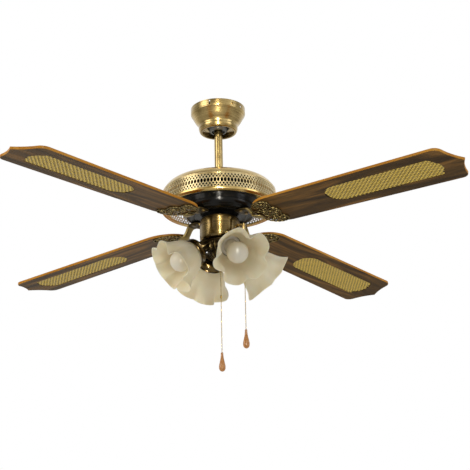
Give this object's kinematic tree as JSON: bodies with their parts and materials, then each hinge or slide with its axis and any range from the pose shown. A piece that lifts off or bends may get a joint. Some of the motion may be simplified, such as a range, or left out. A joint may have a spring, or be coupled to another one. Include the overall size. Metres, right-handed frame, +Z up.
{
  "type": "ceiling fan with light",
  "caption": "Hanging ceiling fan with cane-panelled wooden blades, a pierced brass motor housing, ruffled glass shades and pull chains.",
  "frame": {"origin": "centre of the ceiling bracket's top face, on the ceiling", "axes": "+Z up along the downrod and the motor shaft; -Y is the front; the blades and shades turn about Z"},
  "size_m": [1.0654, 1.0654, 0.6565],
  "materials": {
    "antique_brass": "antique brass plate, brushed and lacquered",
    "dark_brass": "dark antique brass casting",
    "polished_brass": "polished brass",
    "chain_brass": "brass bead chain",
    "zinc_plated_steel": "zinc plated",
    "bare_steel": "bare turned steel",
    "lamination_steel": "stacked laminations",
    "bearing_steel": "ground and polished",
    "enamelled_copper": "enamelled copper wire",
    "dark_motor": "near-black enamel on cast shells",
    "walnut_oak_blade": "walnut face below, oak edges",
    "woven_cane": "woven cane, lacquered",
    "frosted_glass": "acid-frosted cream glass",
    "bulb_glass": "frosted bulb glass on a plated cap",
    "turned_wood": "turned and lacquered wood",
    "white_plastic": "moulded",
    "black_plastic": "moulded",
    "porcelain": "glazed"
  },
  "bodies": {
    "ceiling_mount": {"hanger_bracket": "zinc_plated_steel", "canopy": "antique_brass", "canopy_screws": "antique_brass", "terminal_block": "white_plastic"},
    "hanging": {"hanger_ball": "black_plastic", "ball_pin": "zinc_plated_steel", "downrod": "antique_brass", "rod_coupling": "bare_steel", "coupling_pin": "zinc_plated_steel", "coupling_screws": "zinc_plated_steel", "coupling_cover": "antique_brass", "motor_shaft": "bare_steel", "stator_core": "lamination_steel", "stator_windings": "enamelled_copper", "bearing_inner_rings": "bearing_steel", "housing_cover": "antique_brass", "housing_screws": "zinc_plated_steel", "vent_band": "antique_brass", "trim_ring": "antique_brass", "switch_plate": "dark_brass", "shaft_nut": "zinc_plated_steel", "switch_housing": "antique_brass", "switch_housing_screws": "antique_brass", "capacitor": "black_plastic", "speed_switch": "white_plastic", "reverse_switch": "black_plastic", "chain_guide": "antique_brass", "light_hub": "dark_brass", "light_switch": "white_plastic", "finial": "polished_brass", "shade_holders": "dark_brass", "lampholders": "porcelain", "bulbs": "bulb_glass", "shade_1": "frosted_glass", "shade_2": "frosted_glass", "shade_3": "frosted_glass", "shade_4": "frosted_glass", "thumb_screws": "polished_brass"},
    "rotor": {"bearing_outer_rings": "bearing_steel", "rotor_upper_shell": "dark_motor", "rotor_lower_shell": "dark_motor", "rotor_cage": "lamination_steel", "blade_iron_1": "dark_brass", "blade_iron_2": "dark_brass", "blade_iron_3": "dark_brass", "blade_iron_4": "dark_brass", "iron_screws": "dark_brass", "blade_1": "walnut_oak_blade", "blade_2": "walnut_oak_blade", "blade_3": "walnut_oak_blade", "blade_4": "walnut_oak_blade", "cane_panels": "woven_cane", "blade_screws": "dark_brass"},
    "bearing_cages": {"bearing_balls": "bearing_steel"},
    "speed_pull_chain": {"speed_chain": "chain_brass", "speed_pull": "turned_wood"},
    "light_pull_chain": {"light_chain": "chain_brass", "chain_connector": "chain_brass", "light_pull": "turned_wood"},
    "reversing_knob": {"reverse_knob": "black_plastic"}
  },
  "joints": [
    {"name": "ball_swing", "type": "hinge", "parent": "ceiling_mount", "child": "hanging", "pos_m": [0, 0, -0.04], "axis": [1, 0, 0], "range_deg": [-15, 15]},
    {"name": "rotor_spin", "type": "hinge", "parent": "hanging", "child": "rotor", "pos_m": [0, 0, -0.2475], "axis": [0, 0, 1], "continuous": true},
    {"name": "cage_spin", "type": "hinge", "parent": "hanging", "child": "bearing_cages", "pos_m": [0, 0, -0.2475], "axis": [0, 0, 1], "continuous": true},
    {"name": "speed_chain_pull", "type": "slide", "parent": "hanging", "child": "speed_pull_chain", "axis": [0, 0, -1], "range_m": [0, 0.012], "stiffness_N_per_m": 300, "springref_m": -0.003},
    {"name": "light_chain_pull", "type": "slide", "parent": "hanging", "child": "light_pull_chain", "axis": [0, 0, -1], "range_m": [0, 0.012], "stiffness_N_per_m": 300, "springref_m": -0.003},
    {"name": "reverse_slide", "type": "slide", "parent": "hanging", "child": "reversing_knob", "axis": [-0.6428, -0.766, 0], "range_m": [0, 0.006]}
  ],
  "couplings": [
    {"joint": "cage_spin", "follows": "rotor_spin", "ratio": 0.588}
  ]
}
